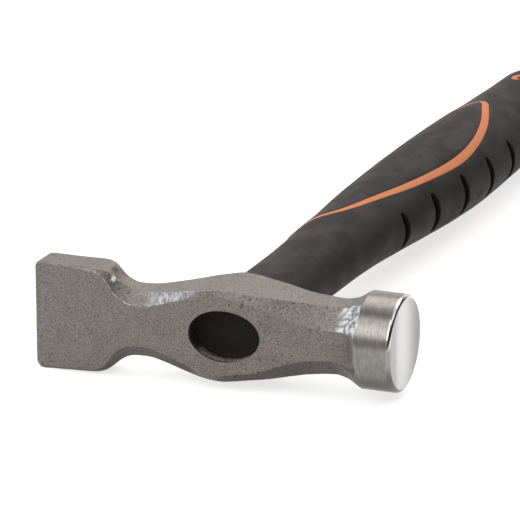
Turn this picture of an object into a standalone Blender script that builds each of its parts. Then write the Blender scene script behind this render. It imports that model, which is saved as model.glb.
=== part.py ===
"""A hammer with a round face and a flat cross pein, on a rubber-covered glass-fibre handle.

The head's axis runs along X, with the round face at +X and the pein at -X. The handle runs along +Y,
away from the eye, and the tool lies on its side with its plane of symmetry level. Lengths below are
in millimetres, measured from the middle of the eye's mouth; the frame empty moves everything so that
the origin is at the middle of the bounding box's bottom.
"""

import math

import bmesh
import bpy
import numpy as np
from mathutils import Matrix, Vector

MM = 0.001
GAP = 0.3

# Head
PEIN_END = -62.3
PEIN_HALF_WIDTH = 17.5
PEIN_END_THICKNESS = 9.4
NECK_END = 33.0
BELL_BLEND = 40.7
BELL_START = 42.0
BELL_RADIUS = 15.0
BELL_AXIS_Y = 14.2
FACE_EDGE = 1.4
FACE_X = 53.6
FACE_RADIUS = 13.4
HEAD_BACK = 22.0

# Eye and what fills it
EYE_HALF_LENGTH = 11.3
EYE_HALF_WIDTH = 8.1
RESIN_RECESS = 6.5
CORE_HALF_LENGTH = 8.6
CORE_HALF_WIDTH = 5.4
CORE_START = 9.8
CORE_END = 250.0

# Handle
HANDLE_START = 22.4
BUTT = 310.0
BUTT_ROUNDING = 6.0
SECTION_ASPECT = 0.75
RUBBER_NECK = 2.3
RUBBER_GRIP = 3.0
GRIP_START = 95.0
WINDOW_GAP = 0.45
RIB_FOOT = 1.0

# How far the cutters on the handle stand above its surface, and reach below it
CUT_ABOVE = 2.0
CUT_BELOW = 4.5

# Hanging hole, through the butt
HANG_HOLE_Y = 292.0
HANG_HOLE_RADIUS = 4.0
HANG_BOSS_RADIUS = 6.4
HANG_BOSS_INSET = 0.6

# Finger grooves, across the side towards the round face
GROOVE_COUNT = 5
FIRST_GROOVE = 125.0
GROOVE_PITCH = 24.0
GROOVE_WIDTH = 4.4
GROOVE_DEPTH = 2.1
GROOVE_REACH = math.radians(32)

# How finely the lofts are divided
CORNER_POINTS = 4
HANDLE_SEGMENTS = 28
HANDLE_RING_SPACING = 14.0
OUTLINE_POINTS = 56
PANEL_COLUMNS = 6
GROOVE_COLUMNS = 2
GROOVE_POINTS = 24
HOLE_POINTS = 32

# The eight-sided head, from the pein to the bell: at each x, the front and back planes (y), the half
# width of the sides (z), the depth and width of the front chamfers, the depth and width of the back
# chamfers, and the radius of the corners.
HEAD_SECTIONS = [
    (-59.6, 0.0, 9.8, PEIN_HALF_WIDTH, 0.6, 0.6, 0.6, 0.6, 0.5),
    (-50.0, 0.0, 11.3, 17.0, 0.6, 0.6, 0.6, 0.6, 0.5),
    (-42.5, 0.0, 12.6, 16.7, 0.8, 0.8, 0.9, 0.9, 0.5),
    (-39.7, 0.0, 13.0, 16.2, 1.6, 1.8, 2.0, 2.0, 0.5),
    (-37.5, 0.0, 13.2, 14.8, 2.5, 2.9, 3.0, 3.0, 0.55),
    (-35.5, 0.0, 13.6, 12.9, 3.2, 3.6, 3.6, 3.6, 0.55),
    (-31.0, 0.0, 14.5, 10.9, 3.9, 4.0, 4.1, 4.0, 0.55),
    (-26.0, 0.0, 16.4, 10.6, 3.5, 4.1, 4.2, 4.1, 0.55),
    (-19.5, 0.0, 18.9, 11.4, 2.3, 3.2, 4.3, 4.0, 0.55),
    (-13.5, 0.0, 20.9, 12.7, 1.2, 2.6, 5.2, 3.6, 0.55),
    (-6.0, 0.0, 22.0, 14.2, 0.3, 1.7, 4.2, 3.0, 0.55),
    (-1.0, 0.0, 22.0, 14.7, 0.7, 2.2, 2.0, 2.4, 0.45),
    (3.0, 0.25, 22.0, 14.3, 0.9, 2.4, 1.4, 2.2, 0.45),
    (8.0, 0.9, 22.0, 13.6, 1.1, 2.5, 1.6, 2.3, 0.5),
    (15.0, 1.75, 22.3, 12.8, 2.2, 4.0, 3.0, 3.6, 0.55),
    (20.0, 2.35, 22.9, 12.0, 3.7, 5.0, 4.4, 4.7, 0.55),
    (26.0, 2.95, 23.9, 11.2, 4.9, 5.7, 5.5, 5.7, 0.55),
    (NECK_END, 3.45, 24.95, 10.7, 5.6, 5.9, 6.0, 6.1, 0.7),
    (37.0, 2.5, 25.9, 11.5, 6.4, 6.2, 6.6, 6.4, 1.2),
    (39.2, 1.4, 27.0, 12.8, 7.2, 7.1, 7.3, 7.2, 4.0),
    (BELL_BLEND, 0.2, 28.2, 14.1, 8.1, 8.1, 8.1, 8.1, 10.0),
]

# The handle's oval: at each y, its centre (x) and its half width along X.
HANDLE_SECTIONS = [
    (HANDLE_START, 0.0, 13.4),
    (60.0, 0.0, 13.15),
    (85.0, 0.0, 13.6),
    (104.0, 0.1, 14.3),
    (128.0, 0.65, 15.9),
    (152.0, 1.85, 17.4),
    (176.0, 3.2, 18.6),
    (200.0, 4.05, 19.1),
    (236.0, 4.6, 18.6),
    (262.0, 5.3, 17.7),
    (285.0, 6.4, 17.7),
    (BUTT, 7.3, 17.9),
]

# The orange outline round a palm panel: y, degrees round the oval from +X towards +Z, and width.
# It starts at the tip nearest the head and turns at FAR_TIP.
STRIPE = [
    (94.2, 136, 1.4),
    (98.2, 124, 2.2),
    (103.0, 104.6, 2.2),
    (108.0, 90.6, 2.3),
    (118.0, 77, 2.5),
    (137.0, 61, 2.8),
    (158.0, 51.5, 3.0),
    (180.0, 48, 3.4),
    (200.0, 53.5, 3.1),
    (218.0, 64, 3.0),
    (230.5, 75, 2.8),
    (240.0, 85.0, 2.7),
    (246.5, 92.6, 2.4),
    (249.8, 102.5, 2.0),
    (246.5, 113.5, 1.9),
    (239.0, 126, 2.0),
    (225.0, 143, 2.0),
    (193.0, 153, 2.2),
    (155.0, 154, 2.0),
    (120.0, 152, 1.8),
    (100.0, 150, 1.4),
]
FAR_TIP = 13

STEEL = ((0.36, 0.35, 0.33, 1), 0.45, 1.0)
RESIN = ((0.012, 0.012, 0.012, 1), 0.6, 0.0)
GLASS_FIBRE = ((0.62, 0.6, 0.42, 1), 0.45, 0.0)
ORANGE = ((0.72, 0.2, 0.07, 1), 0.5, 0.0)
RUBBER = ((0.035, 0.032, 0.032, 1), 0.75, 0.0)


def clear_scene():
    for thing in list(bpy.data.objects):
        bpy.data.objects.remove(thing, do_unlink=True)


def new_collection(name):
    collection = bpy.data.collections.new(name)
    bpy.context.scene.collection.children.link(collection)
    return collection


def new_material(name, finish):
    colour, roughness, metallic = finish
    material = bpy.data.materials.new(name)
    material.use_nodes = True
    shader = material.node_tree.nodes["Principled BSDF"]
    shader.inputs["Base Color"].default_value = colour
    shader.inputs["Roughness"].default_value = roughness
    shader.inputs["Metallic"].default_value = metallic
    return material


def smooth_rows(rows, stations):
    """Rows at the stations, on monotone cubic curves through the given rows' columns."""
    rows = np.array(rows, dtype=float)
    stations = np.asarray(stations, dtype=float)
    place = rows[:, 0]
    step = np.diff(place)[:, None]
    slope = np.diff(rows, axis=0) / step
    product = slope[:-1] * slope[1:]
    total = np.where(product > 0, slope[:-1] + slope[1:], 1.0)
    tangent = np.vstack([slope[:1], np.where(product > 0, 2 * product / total, 0.0), slope[-1:]])
    index = np.clip(np.searchsorted(place, stations, side="right") - 1, 0, len(place) - 2)
    width = step[index]
    t = ((stations - place[index])[:, None]) / width
    start = (1 + 2 * t) * (1 - t) ** 2 * rows[index] + t * (1 - t) ** 2 * width * tangent[index]
    end = t * t * (3 - 2 * t) * rows[index + 1] + t * t * (t - 1) * width * tangent[index + 1]
    return start + end


def evenly(first, last, spacing):
    count = max(2, round((last - first) / spacing) + 1)
    return np.linspace(first, last, count)


def add_part(name, mesh, finish, collection, frame):
    part = bpy.data.objects.new(name, mesh)
    mesh.materials.append(new_material(name, finish))
    part.parent = frame
    collection.objects.link(part)
    return part


def add_cutter(name, mesh, collection, frame):
    cutter = bpy.data.objects.new(name, mesh)
    cutter.parent = frame
    cutter.hide_render = True
    cutter.display_type = "WIRE"
    collection.objects.link(cutter)
    return cutter


def boolean(part, cutter, operation="DIFFERENCE"):
    modifier = part.modifiers.new(f"{operation.lower()}_{cutter.name}", "BOOLEAN")
    modifier.object = cutter
    modifier.operation = operation


def finish_mesh(name, work):
    """Turn the bmesh, still in millimetres, into a mesh in metres with its faces pointing out."""
    bmesh.ops.recalc_face_normals(work, faces=work.faces)
    bmesh.ops.scale(work, vec=(MM, MM, MM), verts=work.verts)
    mesh = bpy.data.meshes.new(name)
    work.to_mesh(mesh)
    work.free()
    mesh.shade_smooth()
    mesh.set_sharp_from_angle(angle=math.radians(30))
    return mesh


def loft(name, rings):
    """Skin through closed rings with equal numbers of points, with a flat cap at each end."""
    work = bmesh.new()
    loops = [[work.verts.new(point) for point in ring] for ring in rings]
    for ring, following in zip(loops, loops[1:]):
        for here in range(len(ring)):
            after = (here + 1) % len(ring)
            work.faces.new((ring[here], ring[after], following[after], following[here]))
    work.faces.new(loops[0])
    work.faces.new(loops[-1])
    return finish_mesh(name, work)


def rounded_outline(corners, radius):
    """The corners of a closed outline, each replaced by points on an arc of the radius."""
    points = []
    for index, corner in enumerate(corners):
        before = (corners[index - 1] - corner).normalized()
        after = (corners[(index + 1) % len(corners)] - corner).normalized()
        half_angle = before.angle(after) / 2
        centre = corner + (before + after).normalized() * radius / math.sin(half_angle)
        start = corner + before * radius / math.tan(half_angle) - centre
        turn = math.copysign(math.pi - 2 * half_angle, before.cross(after))
        for step in range(CORNER_POINTS):
            share = step / (CORNER_POINTS - 1)
            points.append(centre + Matrix.Rotation(-turn * share, 2) @ start)
    return points


def head_ring(x, front, back, side, front_depth, front_width, back_depth, back_width, radius):
    upper = [
        Vector((front, side - front_width)),
        Vector((front + front_depth, side)),
        Vector((back - back_depth, side)),
        Vector((back, side - back_width)),
    ]
    lower = [Vector((corner.x, -corner.y)) for corner in reversed(upper)]
    return [(x, point.x, point.y) for point in rounded_outline(upper + lower, radius)]


def round_ring(x, radius):
    """A circle about the bell's axis, as an octagon with its corners fully rounded."""
    chamfer = radius * (1 - math.tan(math.pi / 8))
    front = BELL_AXIS_Y - radius
    back = BELL_AXIS_Y + radius
    return head_ring(x, front, back, radius, chamfer, chamfer, chamfer, chamfer, 0.97 * radius)


def pein_end_rings():
    """The pein's flat end, with its long edges eased and its corners rounded."""
    steps = ((0.0, 1.7, 0.5), (0.5, 0.8, 0.15), (1.4, 0.15, 0.0))
    rings = []
    for inward, narrower, thinner in steps:
        side = PEIN_HALF_WIDTH - narrower
        back = PEIN_END_THICKNESS + inward * 0.15 - thinner
        rings.append(head_ring(PEIN_END + inward, thinner, back, side, 0.6, 0.6, 0.6, 0.6, 0.5))
    return rings


def build_head(parts, cutters, frame):
    first = HEAD_SECTIONS[0][0]
    last = HEAD_SECTIONS[-1][0]
    stations = sorted(set(evenly(first, last, 4.0)) | {row[0] for row in HEAD_SECTIONS})
    spaced = [x for x, after in zip(stations, stations[1:]) if after - x > 1.3] + [last]
    rings = pein_end_rings()
    rings += [head_ring(*row) for row in smooth_rows(HEAD_SECTIONS, spaced)]
    rings += [round_ring(BELL_START, BELL_RADIUS), round_ring(FACE_X - FACE_EDGE, BELL_RADIUS)]
    rings += [round_ring(FACE_X - 0.4 * FACE_EDGE, BELL_RADIUS - 0.6)]
    rings += [round_ring(FACE_X, FACE_RADIUS)]
    head = add_part("head", loft("head", rings), STEEL, parts, frame)
    eye = loft("eye_cut", [oval(y, EYE_HALF_LENGTH, EYE_HALF_WIDTH) for y in (-5.0, HEAD_BACK + 5.0)])
    boolean(head, add_cutter("eye_cut", eye, cutters, frame))


def oval(y, half_length, half_width):
    angles = [2 * math.pi * index / HANDLE_SEGMENTS for index in range(HANDLE_SEGMENTS)]
    return [(half_length * math.cos(angle), y, half_width * math.sin(angle)) for angle in angles]


def build_eye_filling(parts, frame):
    """The rod, and the resin cup that holds it in the eye and covers its end."""
    inner = (CORE_HALF_LENGTH + GAP, CORE_HALF_WIDTH + GAP)
    outer = (EYE_HALF_LENGTH - GAP, EYE_HALF_WIDTH - GAP)
    back = HEAD_BACK - GAP
    rings = [oval(CORE_START - GAP, *inner), oval(back, *inner)]
    rings += [oval(back, *outer), oval(RESIN_RECESS, *outer)]
    add_part("eye_resin", loft("eye_resin", rings), RESIN, parts, frame)

    ends = [oval(y, CORE_HALF_LENGTH, CORE_HALF_WIDTH) for y in (CORE_START, CORE_END)]
    core = loft("glass_fibre_core", ends)
    add_part("glass_fibre_core", core, GLASS_FIBRE, parts, frame)


def rubber_thickness(y):
    share = min(max((y - HANDLE_START) / (GRIP_START - HANDLE_START), 0.0), 1.0)
    return RUBBER_NECK + (RUBBER_GRIP - RUBBER_NECK) * share


def handle_point(y, angle, depth):
    """A point under the handle's surface, at an angle round its oval."""
    _, centre, half = smooth_rows(HANDLE_SECTIONS, [y])[0]
    x = centre + (half - depth) * math.cos(angle)
    return Vector((x, y, (half * SECTION_ASPECT - depth) * math.sin(angle)))


def handle_ring(y, depth):
    return [
        handle_point(y, 2 * math.pi * index / HANDLE_SEGMENTS, depth) for index in range(HANDLE_SEGMENTS)
    ]


def handle_rings(inset):
    """Rings from the head to the butt, below the rubber's surface by inset times its thickness."""
    rings = []
    for y in evenly(HANDLE_START, BUTT - BUTT_ROUNDING, HANDLE_RING_SPACING):
        rings.append(handle_ring(y, inset(y)))
    butt_inset = inset(BUTT)
    rounding = BUTT_ROUNDING - butt_inset
    for turn in (30, 60, 90):
        y = BUTT - BUTT_ROUNDING + rounding * math.sin(math.radians(turn))
        sunk = rounding * (1 - math.cos(math.radians(turn)))
        rings.append(handle_ring(y, butt_inset + sunk))
    return rings


def stripe_line():
    """Points round the stripe's middle: y, angle and width, on a closed Catmull-Rom curve."""
    def at(index, share):
        before, here, after, later = (
            np.array(STRIPE[(index + offset) % len(STRIPE)], dtype=float) for offset in (-1, 0, 1, 2)
        )
        straight = (after - before) * share
        square = (2 * before - 5 * here + 4 * after - later) * share**2
        cube = (3 * here - before - 3 * after + later) * share**3
        y, degrees, width = here + (straight + square + cube) / 2
        return y, math.radians(degrees), width

    half = OUTLINE_POINTS // 2
    to_far_tip = np.linspace(0, FAR_TIP, half, endpoint=False)
    and_back = np.linspace(FAR_TIP, len(STRIPE), half, endpoint=False)
    places = np.concatenate([to_far_tip, and_back])
    return [at(int(place), place - int(place)) for place in places]


def moved_sideways(line, distance):
    """The closed line moved over the handle's surface, outwards where the distance is positive."""
    moved = []
    for index, (y, angle, width) in enumerate(line):
        ahead = handle_point(*line[(index + 1) % len(line)][:2], 0)
        behind = handle_point(*line[index - 1][:2], 0)
        round_step = handle_point(y, angle + 0.01, 0) - handle_point(y, angle - 0.01, 0)
        round_direction = round_step.normalized()
        per_radian = round_step.length / 0.02
        along = (ahead - behind).normalized()
        across = round_direction.cross(Vector((0, 1, 0))).cross(along)
        shift = across.normalized() * distance(width)
        moved.append((y + shift.y, angle + shift.dot(round_direction) / per_radian))
    return moved


def patch_solid(name, outline, top, bottom, columns):
    """A closed slab on the handle's surface inside an outline whose tips are at 0 and halfway."""
    half = len(outline) // 2
    work = bmesh.new()

    def layer(depth):
        rows = []
        for index in range(half + 1):
            left, right = np.array(outline[index]), np.array(outline[-index])
            shares = [0.0] if index in (0, half) else np.linspace(0, 1, columns + 1)
            places = [left + (right - left) * share for share in shares]
            rows.append([work.verts.new(handle_point(y, a, depth(y))) for y, a in places])
        return rows

    def skin(rows):
        for row, following in zip(rows, rows[1:]):
            for column in range(columns):
                corners = [
                    row[min(column, len(row) - 1)],
                    row[min(column + 1, len(row) - 1)],
                    following[min(column + 1, len(following) - 1)],
                    following[min(column, len(following) - 1)],
                ]
                work.faces.new(list(dict.fromkeys(corners)))

    upper = layer(top)
    lower = layer(bottom)
    skin(upper)
    skin(lower)
    rims = [[row[0] for row in rows] + [row[-1] for row in rows[-2:0:-1]] for rows in (upper, lower)]
    for index in range(len(rims[0])):
        work.faces.new((rims[0][index - 1], rims[0][index], rims[1][index], rims[1][index - 1]))
    return finish_mesh(name, work)


def rib_solid(name, line):
    """The stripe as a rib that stands on the jacket and comes up to the rubber's surface."""
    outer = moved_sideways(line, lambda width: width / 2)
    inner = moved_sideways(line, lambda width: -width / 2)
    work = bmesh.new()
    loops = []
    for (outer_y, outer_angle), (inner_y, inner_angle) in zip(outer, inner):
        foot = rubber_thickness(outer_y) + RIB_FOOT
        corners = [
            handle_point(outer_y, outer_angle, 0.0),
            handle_point(inner_y, inner_angle, 0.0),
            handle_point(inner_y, inner_angle, foot),
            handle_point(outer_y, outer_angle, foot),
        ]
        loops.append([work.verts.new(corner) for corner in corners])
    for index, ring in enumerate(loops):
        previous = loops[index - 1]
        for side in range(4):
            after = (side + 1) % 4
            work.faces.new((previous[side], previous[after], ring[after], ring[side]))
    return finish_mesh(name, work)


def mirrored(line):
    """The same line on the other side of the plane of symmetry, still starting at its near tip."""
    other = [(y, -angle, *rest) for y, angle, *rest in line]
    return [other[0]] + other[:0:-1]


def groove_outline(y):
    """A groove's edge: a long oval round the middle of the side, blunt at both ends."""
    outline = []
    for index in range(GROOVE_POINTS):
        turn = 2 * math.pi * index / GROOVE_POINTS
        reach = -math.cos(turn)
        half_width = GROOVE_WIDTH / 2 * math.sqrt(1 - reach**4)
        outline.append((y + math.copysign(half_width, math.sin(turn)), GROOVE_REACH * reach))
    return outline


def vertical_cylinder(name, radius, collection, frame, height=40.0):
    """An upright cylinder through the butt, at the hanging hole."""
    bpy.ops.mesh.primitive_cylinder_add(vertices=HOLE_POINTS, radius=radius * MM, depth=height * MM)
    cylinder = bpy.context.object
    cylinder.name = name
    cylinder.parent = frame
    cylinder.location = hang_hole_centre()
    cylinder.hide_render = True
    cylinder.display_type = "WIRE"
    for owner in cylinder.users_collection:
        owner.objects.unlink(cylinder)
    collection.objects.link(cylinder)
    return cylinder


def hang_hole_centre():
    centre = smooth_rows(HANDLE_SECTIONS, [HANG_HOLE_Y])[0][1]
    return Vector((centre, HANG_HOLE_Y, 0)) * MM


def build_handle(parts, cutters, frame):
    pocket = (CORE_HALF_LENGTH + GAP, CORE_HALF_WIDTH + GAP)
    rings = [oval(CORE_END + GAP, *pocket), oval(HANDLE_START, *pocket)]
    rings += handle_rings(lambda y: rubber_thickness(y) + GAP)
    jacket = add_part("handle_jacket", loft("handle_jacket", rings), ORANGE, parts, frame)

    rings = handle_rings(rubber_thickness)[::-1] + handle_rings(lambda y: 0.0)
    sleeve = add_part("grip_sleeve", loft("grip_sleeve", rings), RUBBER, parts, frame)

    left = stripe_line()
    for side, line in (("left", left), ("right", mirrored(left))):
        boolean(jacket, add_cutter(f"rib_{side}", rib_solid(f"rib_{side}", line), cutters, frame), "UNION")
        window = moved_sideways(line, lambda width: width / 2 + WINDOW_GAP)
        window = patch_solid(f"window_{side}", window, lambda y: -CUT_ABOVE, lambda y: CUT_BELOW, PANEL_COLUMNS)
        boolean(sleeve, add_cutter(f"window_{side}", window, cutters, frame))
        edge = moved_sideways(line, lambda width: -(width / 2 + GAP))
        panel = patch_solid(f"palm_panel_{side}", edge, lambda y: 0.0, rubber_thickness, PANEL_COLUMNS)
        add_part(f"palm_panel_{side}", panel, RUBBER, parts, frame)

    for index in range(GROOVE_COUNT):
        outline = groove_outline(FIRST_GROOVE + index * GROOVE_PITCH)
        name = f"groove_{index + 1}"
        groove = patch_solid(name, outline, lambda y: -CUT_ABOVE, lambda y: GROOVE_DEPTH, GROOVE_COLUMNS)
        boolean(sleeve, add_cutter(name, groove, cutters, frame))

    half_depth = smooth_rows(HANDLE_SECTIONS, [HANG_HOLE_Y])[0][2] * SECTION_ASPECT
    boss_height = 2 * (half_depth - HANG_BOSS_INSET)
    boss = vertical_cylinder("hang_boss", HANG_BOSS_RADIUS, cutters, frame, boss_height)
    boolean(jacket, boss, "UNION")
    boolean(jacket, vertical_cylinder("hang_hole", HANG_HOLE_RADIUS, cutters, frame))
    boolean(sleeve, vertical_cylinder("hang_window", HANG_BOSS_RADIUS + GAP, cutters, frame))


def main():
    clear_scene()
    parts = new_collection("hammer")
    cutters = new_collection("cutters")
    frame = bpy.data.objects.new("frame", None)
    parts.objects.link(frame)
    front = BELL_AXIS_Y - BELL_RADIUS
    middle = Vector(((PEIN_END + FACE_X) / 2, (front + BUTT) / 2, -PEIN_HALF_WIDTH))
    frame.location = -middle * MM
    build_head(parts, cutters, frame)
    build_eye_filling(parts, frame)
    build_handle(parts, cutters, frame)


main()
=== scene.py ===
"""The looks of the sheet-metal hammer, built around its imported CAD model.

Shapes are worked out in millimetres from the middle of the eye's mouth, with the same dimensions as
the CAD model: X runs along the head towards the round face, Y along the handle, and Z is square to
the plane of symmetry. ORIGIN, taken from the CAD head's box, places them in the frame.
"""

import math

import bmesh
import bpy
import numpy as np
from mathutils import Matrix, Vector, noise


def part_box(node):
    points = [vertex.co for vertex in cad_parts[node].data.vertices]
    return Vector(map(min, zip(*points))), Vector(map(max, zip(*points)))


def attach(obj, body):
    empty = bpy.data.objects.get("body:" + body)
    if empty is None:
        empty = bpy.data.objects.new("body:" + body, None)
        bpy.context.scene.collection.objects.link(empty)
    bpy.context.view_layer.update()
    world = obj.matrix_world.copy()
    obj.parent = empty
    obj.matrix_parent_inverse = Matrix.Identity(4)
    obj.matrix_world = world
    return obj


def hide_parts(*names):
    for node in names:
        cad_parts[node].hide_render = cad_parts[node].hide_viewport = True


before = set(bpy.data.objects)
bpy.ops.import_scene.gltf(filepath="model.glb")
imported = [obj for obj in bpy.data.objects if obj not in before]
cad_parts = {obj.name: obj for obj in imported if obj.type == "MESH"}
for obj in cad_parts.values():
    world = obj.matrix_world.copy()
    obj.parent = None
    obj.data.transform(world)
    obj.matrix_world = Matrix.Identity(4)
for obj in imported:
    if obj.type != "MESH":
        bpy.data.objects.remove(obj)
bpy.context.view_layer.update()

MM = 0.001

# Head
PEIN_END = -62.3
PEIN_HALF_WIDTH = 17.5
PEIN_END_THICKNESS = 9.4
PEIN_CHAMFER = 0.6
PEIN_CORNER = 0.5
NECK_END = 33.0
BELL_BLEND = 40.7
BELL_START = 42.0
BELL_RADIUS = 15.0
BELL_AXIS_Y = 14.2
FACE_EDGE = 1.4
FACE_X = 53.6
FACE_RADIUS = 13.4
FACE_CROWN = 0.12
DENT_DEPTH = 0.05
DENT_SIZE = 6.0
PIT_DEPTH = 0.02
PIT_SIZE = 1.9
HEAD_BACK = 22.0
EYE_HALF_LENGTH = 11.3
EYE_HALF_WIDTH = 8.1

# What fills the eye
RESIN_RECESS = 6.5
RESIN_CREEP = 0.7
RESIN_WAVE = 0.12
CORE_HALF_LENGTH = 8.6
CORE_HALF_WIDTH = 5.4
CORE_START = 9.8
CORE_END = 250.0
POCKET_GAP = 0.3
ROD_POCKET = (CORE_HALF_LENGTH + POCKET_GAP, CORE_HALF_WIDTH + POCKET_GAP)

# Handle
HANDLE_START = 22.4
BUTT = 310.0
BUTT_ROUNDING = 6.0
SECTION_ASPECT = 0.75
RUBBER_NECK = 2.3
RUBBER_GRIP = 3.0
GRIP_START = 95.0
SHOULDER_HEIGHT = 0.4
SHOULDER_RISE = (82.0, 88.0)
SHOULDER_FALL = (94.0, 116.0)
SHOULDER_EDGE = (math.radians(95), math.radians(125))
SEAM = 0.04
EDGE_ROUNDING = 0.22
PANEL_ROUNDING = 0.12
HANG_HOLE_Y = 292.0
HANG_HOLE_RADIUS = 4.0
HANG_BOSS_RADIUS = 6.4
HANG_BOSS_INSET = 0.6

# Finger grooves
GROOVE_COUNT = 5
FIRST_GROOVE = 125.0
GROOVE_PITCH = 24.0
GROOVE_WIDTH = 4.4
GROOVE_DEPTH = 2.1
GROOVE_REACH = math.radians(32)

# At each x along the head: the front and back planes (y), the half width of the sides (z), the depth
# and width of the front chamfers, the depth and width of the back chamfers, and the corners' radius.
HEAD_SECTIONS = [
    (-59.6, 0.0, 9.8, PEIN_HALF_WIDTH, 0.6, 0.6, 0.6, 0.6, 0.5),
    (-50.0, 0.0, 11.3, 17.0, 0.6, 0.6, 0.6, 0.6, 0.5),
    (-42.5, 0.0, 12.6, 16.7, 0.8, 0.8, 0.9, 0.9, 0.5),
    (-39.7, 0.0, 13.0, 16.2, 1.6, 1.8, 2.0, 2.0, 0.5),
    (-37.5, 0.0, 13.2, 14.8, 2.5, 2.9, 3.0, 3.0, 0.55),
    (-35.5, 0.0, 13.6, 12.9, 3.2, 3.6, 3.6, 3.6, 0.55),
    (-31.0, 0.0, 14.5, 10.9, 3.9, 4.0, 4.1, 4.0, 0.55),
    (-26.0, 0.0, 16.4, 10.6, 3.5, 4.1, 4.2, 4.1, 0.55),
    (-19.5, 0.0, 18.9, 11.4, 2.3, 3.2, 4.3, 4.0, 0.55),
    (-13.5, 0.0, 20.9, 12.7, 1.2, 2.6, 5.2, 3.6, 0.55),
    (-6.0, 0.0, 22.0, 14.2, 0.3, 1.7, 4.2, 3.0, 0.55),
    (-1.0, 0.0, 22.0, 14.7, 0.7, 2.2, 2.0, 2.4, 0.45),
    (3.0, 0.25, 22.0, 14.3, 0.9, 2.4, 1.4, 2.2, 0.45),
    (8.0, 0.9, 22.0, 13.6, 1.1, 2.5, 1.6, 2.3, 0.5),
    (15.0, 1.75, 22.3, 12.8, 2.2, 4.0, 3.0, 3.6, 0.55),
    (20.0, 2.35, 22.9, 12.0, 3.7, 5.0, 4.4, 4.7, 0.55),
    (26.0, 2.95, 23.9, 11.2, 4.9, 5.7, 5.5, 5.7, 0.55),
    (NECK_END, 3.45, 24.95, 10.7, 5.6, 5.9, 6.0, 6.1, 0.7),
    (37.0, 2.5, 25.9, 11.5, 6.4, 6.2, 6.6, 6.4, 1.2),
    (39.2, 1.4, 27.0, 12.8, 7.2, 7.1, 7.3, 7.2, 4.0),
    (BELL_BLEND, 0.2, 28.2, 14.1, 8.1, 8.1, 8.1, 8.1, 10.0),
]

# The handle's oval: at each y, its centre (x) and its half width along X.
HANDLE_SECTIONS = [
    (HANDLE_START, 0.0, 13.4),
    (60.0, 0.0, 13.15),
    (85.0, 0.0, 13.6),
    (104.0, 0.1, 14.3),
    (128.0, 0.65, 15.9),
    (152.0, 1.85, 17.4),
    (176.0, 3.2, 18.6),
    (200.0, 4.05, 19.1),
    (236.0, 4.6, 18.6),
    (262.0, 5.3, 17.7),
    (285.0, 6.4, 17.7),
    (BUTT, 7.3, 17.9),
]

# The orange outline round a palm panel: y, degrees round the oval from +X towards +Z, and width.
# It starts at the tip nearest the head and turns at FAR_TIP.
STRIPE = [
    (94.2, 136, 0.9),
    (98.2, 124, 2.2),
    (103.0, 104.6, 2.2),
    (108.0, 90.6, 2.3),
    (118.0, 77, 2.5),
    (137.0, 61, 2.8),
    (158.0, 51.5, 3.0),
    (180.0, 48, 3.4),
    (200.0, 53.5, 3.1),
    (218.0, 64, 3.0),
    (230.5, 75, 2.8),
    (240.0, 85.0, 2.7),
    (246.5, 92.6, 2.4),
    (249.8, 102.5, 1.5),
    (246.5, 113.5, 1.9),
    (239.0, 126, 2.0),
    (225.0, 143, 2.0),
    (193.0, 153, 2.2),
    (155.0, 154, 2.0),
    (120.0, 152, 1.8),
    (100.0, 150, 1.4),
]
FAR_TIP = 13

# How finely the surfaces are divided
FRONT_POINTS = 12
CHAMFER_POINTS = 5
SIDE_POINTS = 14
ARC_POINTS = 8
HEAD_RING_SPACING = 0.8
BELL_RING_SPACING = 0.6
EYE_POINTS = 120
HANDLE_SEGMENTS = 144
HANDLE_RING_SPACING = 1.6
GROOVE_RING_SPACING = 0.22
HIDDEN_RING_SPACING = 8.0
OUTLINE_POINTS = 240
PANEL_COLUMNS = 16
TURNED_SEGMENTS = 64
SHARP = math.radians(35)

# Points closer together than this after a Boolean are one point.
SLIVER = 0.006

# Camera
CAMERA_AZIMUTH = math.radians(21.4)
CAMERA_ELEVATION = math.radians(17.3)
CAMERA_DISTANCE = 1.0
CAMERA_AIM = (7.994, 10.566, 22.26)
SENSOR_WIDTH = 36.0
FOCAL_LENGTH = 229.3

# Light: how far the softboxes stand, and how bright the surroundings and the floor are
PANEL_DISTANCE = 1.3
FRONT_GLOW = 0.36
BACK_GLOW = 0.85
LOW_GLOW = 1.25
CEILING_GLOW = 1.25
RIGHT_GLOW = 0.08
FLOOR_GLOW = 0.72

head_low, head_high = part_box("head")
ORIGIN = Vector((head_low.x - PEIN_END * MM, head_low.y + (BELL_RADIUS - BELL_AXIS_Y) * MM, 0.0))
ORIGIN.z = (head_low.z + head_high.z) / 2


# Curves and meshes


def smooth_rows(rows, stations):
    """Rows at the stations, on monotone cubic curves through the given rows' columns."""
    rows = np.array(rows, dtype=float)
    stations = np.asarray(stations, dtype=float)
    place = rows[:, 0]
    step = np.diff(place)[:, None]
    slope = np.diff(rows, axis=0) / step
    product = slope[:-1] * slope[1:]
    total = np.where(product > 0, slope[:-1] + slope[1:], 1.0)
    tangent = np.vstack([slope[:1], np.where(product > 0, 2 * product / total, 0.0), slope[-1:]])
    index = np.clip(np.searchsorted(place, stations, side="right") - 1, 0, len(place) - 2)
    width = step[index]
    t = ((stations - place[index])[:, None]) / width
    start = (1 + 2 * t) * (1 - t) ** 2 * rows[index] + t * (1 - t) ** 2 * width * tangent[index]
    end = t * t * (3 - 2 * t) * rows[index + 1] + t * t * (t - 1) * width * tangent[index + 1]
    return start + end


def evenly(first, last, spacing):
    return np.linspace(first, last, max(2, round(abs(last - first) / spacing) + 1))


def smoothstep(value, low, high):
    share = np.clip((value - low) / (high - low), 0.0, 1.0)
    return share * share * (3 - 2 * share)


def add_piece(name, mesh, material):
    mesh.materials.append(material)
    piece = bpy.data.objects.new(name, mesh)
    bpy.context.scene.collection.objects.link(piece)
    return piece


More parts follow.
